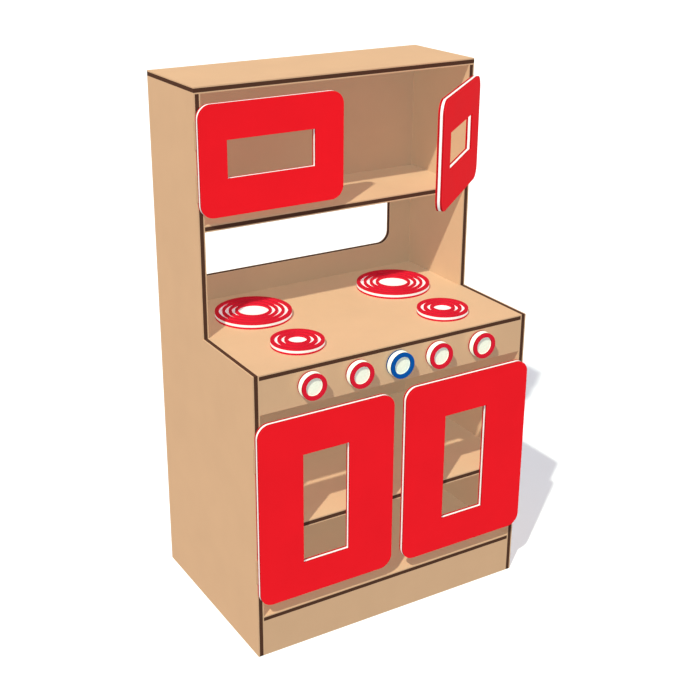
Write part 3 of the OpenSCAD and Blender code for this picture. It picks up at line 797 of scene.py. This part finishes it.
class STOVE_OT_pan_head_screws(bpy.types.Operator):
    """Make the pan-head screws of the back panel, the pockets and the burners"""

    bl_idname = "stove.pan_head_screws"
    bl_label = "Pan-head screws"

    def execute(self, context):
        steel = bpy.data.materials[STEEL]
        rear = high("back_panel").y
        shelves = FLAT_BOARDS[1:]
        middles = {n: high(n).z - BOARD / 2 for n in shelves}

        backs = [at(x, rear, middles[n]) @ rotation(-90, "X")
                 for n in shelves for x in BACK_SCREWS]

        # Each pocket's joint plane, and the turn that carries local X along the screw's way
        joints = []
        for name in shelves:
            front, depth = low(name).y, high(name).y - low(name).y
            for way, angle in ((1, 0), (-1, 180)):
                joints += [at(way * high(name).x, front + share * depth, low(name).z)
                           @ rotation(angle, "Z") for share in POCKETS]
        upwards = rotation(90, "Z") @ rotation(-90, "Y")
        for board, above, xs in (("back_panel", "top_panel", BACK_SCREWS),
                                 ("control_panel", "counter_top", CONTROL_PANEL_SCREWS),
                                 ("kick_board", "bottom_shelf", KICK_BOARD_SCREWS)):
            joints += [at(x, high(board).y, low(above).z) @ upwards for x in xs]
        along = (at(0, 0, POCKET_CROSSING * BOARD) @ rotation(-POCKET_LEAN, "Y")
                 @ at(-POCKET_SEAT, 0, 0) @ rotation(-90, "Y"))
        pockets = [joint @ along for joint in joints]

        under = low("counter_top").z
        burners = []
        for name in BURNERS:
            middle = (low(name) + high(name)) / 2
            burners += [at(middle.x + x, middle.y, under) @ rotation(180, "X")
                        for x in BURNER_SCREWS]

        for node, length, places in (("back_panel_screws", 0.030, backs),
                                     ("pocket_screws", 0.021, pockets),
                                     ("burner_screws", 0.018, burners)):
            screws = set_of(self.pattern(length), f"{node}_pan_heads", places)
            dress(screws, steel)
            hand_over(screws, node, "cabinet")
        return {"FINISHED"}

    def pattern(self, length):
        """A screw whose head sits on Z = 0 and whose tip points down."""
        shank, head, height = sizes().screw
        screw = turned("Screw pattern", [
            (0.0003, -length), (shank, 0.003 - length), (shank, 0), (head, 0),
            (head, 0.45 * height), (0.93 * head, 0.75 * height), (0.75 * head, 0.93 * height),
            (0.5 * head, height)])
        cross_recess(screw, reach=0.0017, depth=0.0012, width=0.0008)
        ease(screw, radius=0.00008, segments=2)
        return screw


class STOVE_OT_hinge_screws(bpy.types.Operator):
    """Make the countersunk screws of the hinge leaves"""

    bl_idname = "stove.hinge_screws"
    bl_label = "Hinge screws"

    def execute(self, context):
        steel = bpy.data.materials[STEEL]
        on_frame = []
        for name in DOORS:
            pin, opened, sign = hung(name)
            heights = [z + rise for z in hinge_heights(name) for rise in LEAF_SCREWS]
            on_frame += [at(pin.x - sign * FRAME_LEAF_OUT, pin.y + LEAF_FACE, z)
                         @ rotation(90, "X") for z in heights]
            leaf = at(pin.x, pin.y, 0) @ Matrix.Rotation(opened, 4, "Z")
            on_door = [leaf @ at(-sign * DOOR_LEAF_OUT, -LEAF_FACE, z) @ rotation(-90, "X")
                       for z in heights]
            screws = set_of(self.pattern(), f"{name}_leaf_screw_set", on_door)
            dress(screws, steel)
            hand_over(screws, f"leaf_screws_{name}", f"{name}_door")
        screws = set_of(self.pattern(), "frame_leaf_screw_set", on_frame)
        dress(screws, steel)
        hand_over(screws, "hinge_frame_screws", "cabinet")
        return {"FINISHED"}

    def pattern(self):
        """A screw whose head is flush with Z = 0 and whose tip points down."""
        shank, head, depth = sizes().hinge_screw
        screw = turned("Screw pattern", [
            (0.0002, -0.010), (shank, -0.0078), (shank, -depth), (0.98 * head, -0.00006),
            (0.96 * head, 0)])
        cross_recess(screw, reach=0.0013, depth=0.0008, width=0.0006)
        ease(screw, radius=0.00005, segments=2)
        return screw


class STOVE_OT_knob_bolts(bpy.types.Operator):
    """Make the knobs' bolts, with a hexagon socket in each head"""

    bl_idname = "stove.knob_bolts"
    bl_label = "Knob bolts"

    def execute(self, context):
        steel = bpy.data.materials[STEEL]
        lowest, highest = low("knob_bolt_middle"), high("knob_bolt_middle")
        shank, head, height = sizes().bolt
        length = highest.y - lowest.y
        pattern = turned("Bolt pattern", [
            (0.85 * shank, 0), (shank, 0.0006), (shank, length - height), (head, length - height),
            (head, length - 0.0004), (head - 0.0004, length)], 48)
        socket_radius, socket_depth = sizes().socket
        cut_out(pattern, [bar("Socket cutter", socket_radius, length - socket_depth,
                              length + 0.001, 6)])
        ease(pattern, radius=0.0001, segments=2)
        for name in KNOBS:
            start, end = low(f"knob_bolt_{name}"), high(f"knob_bolt_{name}")
            middle = (start + end) / 2
            bolt = copy_of(pattern, f"{name}_hex_bolt",
                           at(middle.x, start.y, middle.z) @ rotation(-90, "X"))
            dress(bolt, steel)
            hand_over(bolt, f"knob_bolt_{name}", f"{name}_knob")
        bpy.data.objects.remove(pattern)
        return {"FINISHED"}


class STOVE_OT_stage(bpy.types.Operator):
    """Set up the floor, the surround, the lights and the camera"""

    bl_idname = "stove.stage"
    bl_label = "Stage"

    def shine(self, context, name, towards, energy, tint, width, fill):
        """Adds a far light that shines towards a direction. Its width is in degrees.

        A fill casts no shadow and leaves no glare."""
        light = bpy.data.lights.new(name, "SUN")
        light.energy = energy
        light.color = tint
        light.angle = math.radians(width)
        light.use_shadow = not fill
        lamp = bpy.data.objects.new(name, light)
        lamp.rotation_mode = "QUATERNION"
        lamp.rotation_quaternion = Vector(towards).to_track_quat("-Z", "Y")
        lamp.visible_glossy = not fill
        context.scene.collection.objects.link(lamp)

    def execute(self, context):
        scene = context.scene
        scene.view_settings.view_transform = "Standard"
        scene.view_settings.look = "None"

        bpy.ops.mesh.primitive_plane_add(size=60, location=(0, 0, 0))
        floor = context.object
        floor.name = "studio_floor"
        # Matt paint, with clouds too faint to see as more than not quite even
        material, tree, shader = new_material("Painted studio floor")
        coords = add(tree, "ShaderNodeTexCoord").outputs["Object"]
        clouds = add(tree, "ShaderNodeTexNoise", {"Vector": coords, "Scale": 2.0, "Detail": 3.0})
        tone = add(tree, "ShaderNodeMix", {0: clouds.outputs["Fac"],
                                           6: linear(colours().floor, 0.985),
                                           7: linear(colours().floor, 1.0)}, data_type="RGBA")
        tree.links.new(tone.outputs[2], shader.inputs["Base Color"])
        shader.inputs["Roughness"].default_value = 0.9
        shader.inputs["Specular IOR Level"].default_value = 0.1
        dress(floor, material)

        # White cloth, lit evenly from behind, closes the view all round the floor
        bpy.ops.mesh.primitive_uv_sphere_add(segments=64, ring_count=32, radius=29)
        surround = context.object
        surround.name = "studio_surround"
        material, tree, shader = new_material("Lit white studio cloth")
        shader.inputs["Base Color"].default_value = (0, 0, 0, 1)
        shader.inputs["Specular IOR Level"].default_value = 0.0
        shader.inputs["Emission Color"].default_value = (1, 1, 1, 1)
        shader.inputs["Emission Strength"].default_value = 1.0
        material.cycles.emission_sampling = "NONE"
        dress(surround, material)

        # Both are seen, but their glow doesn't tint the object, and the surround lets light in
        for piece in (floor, surround):
            piece.visible_diffuse = False
            piece.visible_glossy = False
        surround.visible_shadow = False

        world = bpy.data.worlds.new("Studio")
        world.use_nodes = True
        background = world.node_tree.nodes["Background"]
        background.inputs["Color"].default_value = (1.0, 0.62, 0.55, 1)
        background.inputs["Strength"].default_value = 0.42
        scene.world = world

        # The key light stands high on the left and in front, and is wide enough for soft edges
        self.shine(context, "Key light", (0.527, 0.401, -0.750), 3.34, (0.93, 1.0, 0.87),
                   width=1.5, fill=False)
        # Fills reach into the cupboards from every side. They are cool, since light that has
        # bounced about inside the boards comes back redder. Like the key light's, their
        # strengths and tints were fitted to the tones in the photograph.
        for name, towards, energy, tint in (
                ("left", (1, 0, 0), 1.22, (0.53, 0.85, 1.0)),
                ("right", (-1, 0, 0), 2.0, (0.92, 0.95, 1.0)),
                ("front", (0, 1, 0), 1.12, (0.34, 0.80, 1.0)),
                ("rear", (0, -1, 0), 1.0, (0.80, 0.90, 1.0)),
                ("top", (0, 0, -1), 1.45, (0.52, 0.84, 1.0)),
                ("below", (0, 0, 1), 0.73, (0.54, 0.99, 1.0))):
            self.shine(context, f"Fill light, {name}", towards, energy, tint,
                       width=30, fill=True)

        # The camera was fitted to the photograph's straight edges. Its focal length and its axis
        # are in the picture's pixels, its turn to the right, its tilt down and its roll in degrees.
        picture, focal, axis_x, axis_y = 700, 1204.84, 311.42, 315.25
        turn, tilt, roll = 29.996, 21.076, 0.217
        camera = bpy.data.cameras.new("Camera")
        camera.lens = camera.sensor_width * focal / picture
        camera.shift_x = (picture / 2 - axis_x) / picture
        camera.shift_y = (axis_y - picture / 2) / picture
        camera.clip_end = 100
        view = bpy.data.objects.new("Camera", camera)
        view.matrix_world = (at(-1.17714, -1.91164, 1.44475) @ rotation(-turn, "Z")
                             @ rotation(90 - tilt, "X") @ rotation(-roll, "Z"))
        scene.collection.objects.link(view)
        scene.camera = view
        return {"FINISHED"}


class STOVE_PT_panel(bpy.types.Panel):
    """The stove's sizes, colours and steps"""

    bl_idname = "STOVE_PT_panel"
    bl_label = "Play Stove"
    bl_space_type = "VIEW_3D"
    bl_region_type = "UI"
    bl_category = "Play Stove"

    def draw(self, context):
        for group in (context.scene.stove_sizes, context.scene.stove_colours):
            for key in group.__annotations__:
                self.layout.prop(group, key)
        for step in STEPS:
            self.layout.operator(step.bl_idname)


GROUPS = (StoveSizes, StoveColours)
STEPS = (STOVE_OT_stage, STOVE_OT_boards, STOVE_OT_doors, STOVE_OT_burners, STOVE_OT_knobs,
         STOVE_OT_hardware, STOVE_OT_pan_head_screws, STOVE_OT_hinge_screws, STOVE_OT_knob_bolts)


def register():
    for cls in GROUPS + STEPS + (STOVE_PT_panel,):
        bpy.utils.register_class(cls)
    bpy.types.Scene.stove_sizes = bpy.props.PointerProperty(type=StoveSizes)
    bpy.types.Scene.stove_colours = bpy.props.PointerProperty(type=StoveColours)


def unregister():
    del bpy.types.Scene.stove_colours
    del bpy.types.Scene.stove_sizes
    for cls in reversed(GROUPS + STEPS + (STOVE_PT_panel,)):
        bpy.utils.unregister_class(cls)


def main():
    register()
    bpy.ops.stove.stage()
    bpy.ops.stove.boards()
    bpy.ops.stove.doors()
    bpy.ops.stove.burners()
    bpy.ops.stove.knobs()
    bpy.ops.stove.hardware()
    bpy.ops.stove.pan_head_screws()
    bpy.ops.stove.hinge_screws()
    bpy.ops.stove.knob_bolts()


if __name__ == "__main__":
    main()
